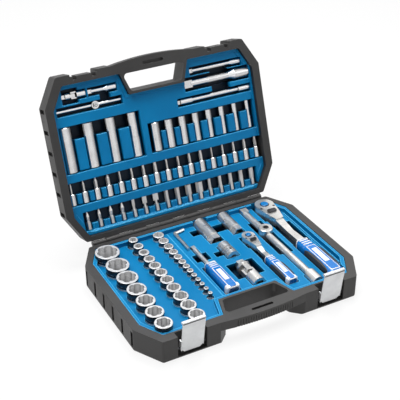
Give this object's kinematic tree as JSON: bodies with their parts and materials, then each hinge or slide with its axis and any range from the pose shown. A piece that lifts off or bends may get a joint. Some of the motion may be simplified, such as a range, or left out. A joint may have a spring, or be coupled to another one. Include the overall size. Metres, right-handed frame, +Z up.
{
  "type": "socket wrench set in case",
  "caption": "Folding tool case, opened, with blue trays holding ratchets, drive sockets, deep sockets, extension bars, universal joints, a spinner handle and screwdriver bits.",
  "frame": {"origin": "centre of the base's underside, without the lid and handle arch", "axes": "+Z up, the handle and latches towards -Y, the lid hinged along the back at +Y"},
  "size_m": [0.4, 0.416, 0.3187],
  "materials": {
    "case_plastic": "moulded, fine texture",
    "tray_plastic": "moulded, satin",
    "chrome_steel": "polished, slightly frosted",
    "plain_steel": "drawn wire",
    "latch_metal": "satin, pale",
    "grip_blue": "gloss",
    "grip_dark": "soft matt",
    "inlay_white": "gloss",
    "button_blue": "gloss",
    "dark_steel": "blackened",
    "rubber_black": "soft matt",
    "bit_steel": "sand-blasted"
  },
  "bodies": {
    "case_base": {"base_shell": "case_plastic", "base_tray": "tray_plastic", "bit_adapter": "chrome_steel", "hex_key": "chrome_steel", "hinge_pin": "plain_steel", "large_sockets": "chrome_steel", "latch_pins": "plain_steel", "medium_sockets": "chrome_steel", "small_sockets": "chrome_steel", "socket_cups": "tray_plastic", "spark_inserts": "rubber_black", "spark_socket_large": "chrome_steel", "spark_socket_small": "chrome_steel", "universal_half_socket_yoke": "chrome_steel"},
    "lid": {"lid_shell": "case_plastic", "lid_tray": "tray_plastic", "deep_sockets": "chrome_steel", "deep_slim_sockets": "chrome_steel", "bit_socket_bodies": "chrome_steel", "bit_socket_blades": "bit_steel", "screwdriver_bits": "bit_steel", "extension_short": "chrome_steel", "extension_medium": "chrome_steel", "extension_long": "chrome_steel", "flexible_extension_ends": "chrome_steel", "flexible_extension_core": "chrome_steel", "small_tee_bar": "chrome_steel", "universal_quarter_socket_yoke": "chrome_steel"},
    "latch_left": {"latch_left": "latch_metal"},
    "latch_right": {"latch_right": "latch_metal"},
    "spinner": {"spinner_shaft": "chrome_steel", "spinner_grip": "grip_blue", "spinner_inlays": "inlay_white"},
    "tee": {"tee_bar": "chrome_steel"},
    "tee_slider": {"tee_slider": "chrome_steel"},
    "small_tee_slider": {"small_tee_slider": "chrome_steel"},
    "ratchet_half": {"ratchet_half_body": "chrome_steel", "ratchet_half_cover": "chrome_steel", "ratchet_half_screws": "dark_steel", "ratchet_half_grip": "grip_blue", "ratchet_half_side_pads": "grip_dark", "ratchet_half_grip_inlays": "inlay_white"},
    "ratchet_half_drive": {"ratchet_half_gear": "chrome_steel"},
    "ratchet_half_lever": {"ratchet_half_lever": "dark_steel", "ratchet_half_pawl": "dark_steel"},
    "ratchet_half_button": {"ratchet_half_button": "button_blue"},
    "universal_half_cross": {"universal_half_cross": "chrome_steel"},
    "universal_half_drive": {"universal_half_drive_yoke": "chrome_steel"},
    "ratchet_quarter": {"ratchet_quarter_body": "chrome_steel", "ratchet_quarter_cover": "chrome_steel", "ratchet_quarter_screws": "dark_steel", "ratchet_quarter_grip": "grip_blue", "ratchet_quarter_side_pads": "grip_dark", "ratchet_quarter_grip_inlays": "inlay_white"},
    "ratchet_quarter_drive": {"ratchet_quarter_gear": "chrome_steel"},
    "ratchet_quarter_lever": {"ratchet_quarter_lever": "dark_steel", "ratchet_quarter_pawl": "dark_steel"},
    "ratchet_quarter_button": {"ratchet_quarter_button": "button_blue"},
    "universal_quarter_cross": {"universal_quarter_cross": "chrome_steel"},
    "universal_quarter_drive": {"universal_quarter_drive_yoke": "chrome_steel"}
  },
  "joints": [
    {"name": "lid_hinge", "type": "hinge", "parent": "case_base", "child": "lid", "pos_m": [0, 0.14561, 0.0423], "axis": [-1, 0, 0], "range_deg": [-108.5, 0]},
    {"name": "latch_left_pivot", "type": "hinge", "parent": "case_base", "child": "latch_left", "pos_m": [-0.124, -0.13461, 0.016], "axis": [1, 0, 0], "range_deg": [-8, 92]},
    {"name": "latch_right_pivot", "type": "hinge", "parent": "case_base", "child": "latch_right", "pos_m": [0.124, -0.13461, 0.016], "axis": [1, 0, 0], "range_deg": [-8, 92]},
    {"name": "ratchet_half_lift", "type": "slide", "parent": "case_base", "child": "ratchet_half", "axis": [0, 0, 1], "range_m": [0, 0.08]},
    {"name": "ratchet_half_drive_turn", "type": "hinge", "parent": "ratchet_half", "child": "ratchet_half_drive", "pos_m": [0.154, 0.113, 0.029], "axis": [0, 0, 1], "continuous": true},
    {"name": "ratchet_half_lever_flip", "type": "hinge", "parent": "ratchet_half", "child": "ratchet_half_lever", "pos_m": [0.154, 0.08763, 0.045], "axis": [0, 0, 1], "range_deg": [-18, 18]},
    {"name": "ratchet_half_button_press", "type": "slide", "parent": "ratchet_half_drive", "child": "ratchet_half_button", "axis": [0, 0, -1], "range_m": [0, 0.0015], "stiffness_N_per_m": 400, "springref_m": -0.002},
    {"name": "ratchet_quarter_lift", "type": "slide", "parent": "case_base", "child": "ratchet_quarter", "axis": [0, 0, 1], "range_m": [0, 0.08]},
    {"name": "ratchet_quarter_drive_turn", "type": "hinge", "parent": "ratchet_quarter", "child": "ratchet_quarter_drive", "pos_m": [0.08, 0.044, 0.032], "axis": [0, 0, 1], "continuous": true},
    {"name": "ratchet_quarter_lever_flip", "type": "hinge", "parent": "ratchet_quarter", "child": "ratchet_quarter_lever", "pos_m": [0.08, 0.02732, 0.043], "axis": [0, 0, 1], "range_deg": [-18, 18]},
    {"name": "ratchet_quarter_button_press", "type": "slide", "parent": "ratchet_quarter_drive", "child": "ratchet_quarter_button", "axis": [0, 0, -1], "range_m": [0, 0.0015], "stiffness_N_per_m": 400, "springref_m": -0.002},
    {"name": "spinner_lift", "type": "slide", "parent": "case_base", "child": "spinner", "axis": [0, 0, 1], "range_m": [0, 0.08]},
    {"name": "tee_lift", "type": "slide", "parent": "case_base", "child": "tee", "axis": [0, 0, 1], "range_m": [0, 0.08]},
    {"name": "tee_slider_slide", "type": "slide", "parent": "tee", "child": "tee_slider", "axis": [0, 1, 0], "range_m": [-0.055, 0.025]},
    {"name": "small_tee_slider_slide", "type": "slide", "parent": "lid", "child": "small_tee_slider", "axis": [1, 0, 0], "range_m": [-0.026, 0.026]},
    {"name": "universal_half_pitch", "type": "hinge", "parent": "case_base", "child": "universal_half_cross", "pos_m": [0.033, -0.036, 0.031], "axis": [1, 0, 0], "range_deg": [0, 25]},
    {"name": "universal_half_swing", "type": "hinge", "parent": "universal_half_cross", "child": "universal_half_drive", "pos_m": [0.033, -0.036, 0.031], "axis": [0, 0, 1], "range_deg": [-15, 15]},
    {"name": "universal_quarter_pitch", "type": "hinge", "parent": "lid", "child": "universal_quarter_cross", "pos_m": [-0.145, 0.24143, 0.27386], "axis": [0, 0.3173, 0.9483], "range_deg": [0, 25]},
    {"name": "universal_quarter_swing", "type": "hinge", "parent": "universal_quarter_cross", "child": "universal_quarter_drive", "pos_m": [-0.145, 0.24143, 0.27386], "axis": [0, -0.9483, 0.3173], "range_deg": [-12, 12]}
  ]
}
